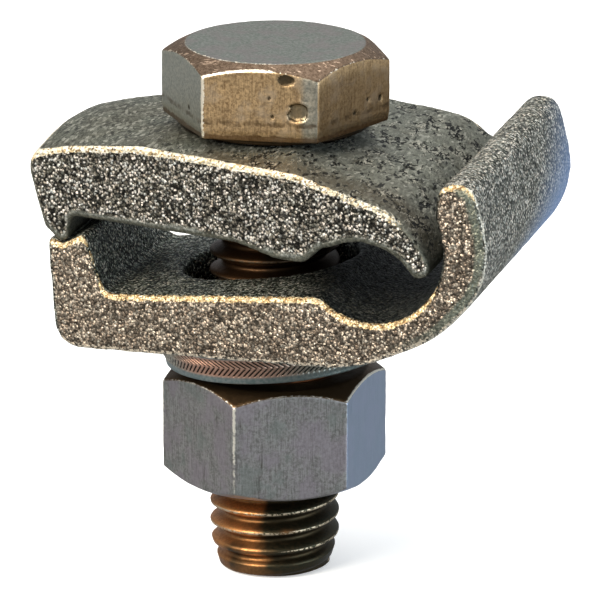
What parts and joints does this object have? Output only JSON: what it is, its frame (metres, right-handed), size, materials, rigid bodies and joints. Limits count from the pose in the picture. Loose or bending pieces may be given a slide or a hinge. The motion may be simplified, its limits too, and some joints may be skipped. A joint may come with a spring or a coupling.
{
  "type": "ground clamp",
  "caption": "Bolted bronze ground clamp: a hooked cast jaw and a hinged cast jaw drawn together over a conductor by a hex bolt, lock washer and hex nut.",
  "frame": {"origin": "centre of the conductor groove between the two jaws, half way along it", "axes": "+Z along the bolt's axis towards its head, +Y along the conductor groove, +X from the bolt towards the hooked end"},
  "size_m": [0.047, 0.0336, 0.0521],
  "materials": {
    "lower_casting": "sand-cast skin, warm brown bronze, rough grain",
    "upper_casting": "sand-cast skin, dark grey bronze, rough grain",
    "bolt_bronze": "machined silicon bronze, satin, brushed flats",
    "washer_bronze": "pressed bronze, knurled rim, satin",
    "nut_bronze": "machined silicon bronze, satin, brushed flats"
  },
  "bodies": {
    "lower_jaw": {"lower_jaw": "lower_casting"},
    "upper_jaw": {"upper_jaw": "upper_casting"},
    "bolt": {"hex_bolt": "bolt_bronze"},
    "washer": {"lock_washer": "washer_bronze"},
    "nut": {"hex_nut": "nut_bronze"}
  },
  "joints": [
    {"name": "jaw_open", "type": "hinge", "parent": "lower_jaw", "child": "upper_jaw", "pos_m": [-0.0318, 0, 0.00035], "axis": [0, -1, 0], "range_deg": [0, 10.3]},
    {"name": "bolt_turn", "type": "hinge", "parent": "upper_jaw", "child": "bolt", "pos_m": [-0.0133, 0, 0], "axis": [0, 0, 1], "range_deg": [0, 1179.6]},
    {"name": "nut_travel", "type": "slide", "parent": "upper_jaw", "child": "nut", "axis": [0, 0, -1], "range_m": [0, 0.0064]},
    {"name": "washer_travel", "type": "slide", "parent": "upper_jaw", "child": "washer", "axis": [0, 0, -1], "range_m": [0, 0.0064]}
  ],
  "couplings": [
    {"joint": "jaw_open", "follows": "nut_travel", "rad_per_m": 28},
    {"joint": "bolt_turn", "follows": "nut_travel", "rad_per_m": 3215.8},
    {"joint": "washer_travel", "follows": "nut_travel", "ratio": 1}
  ]
}
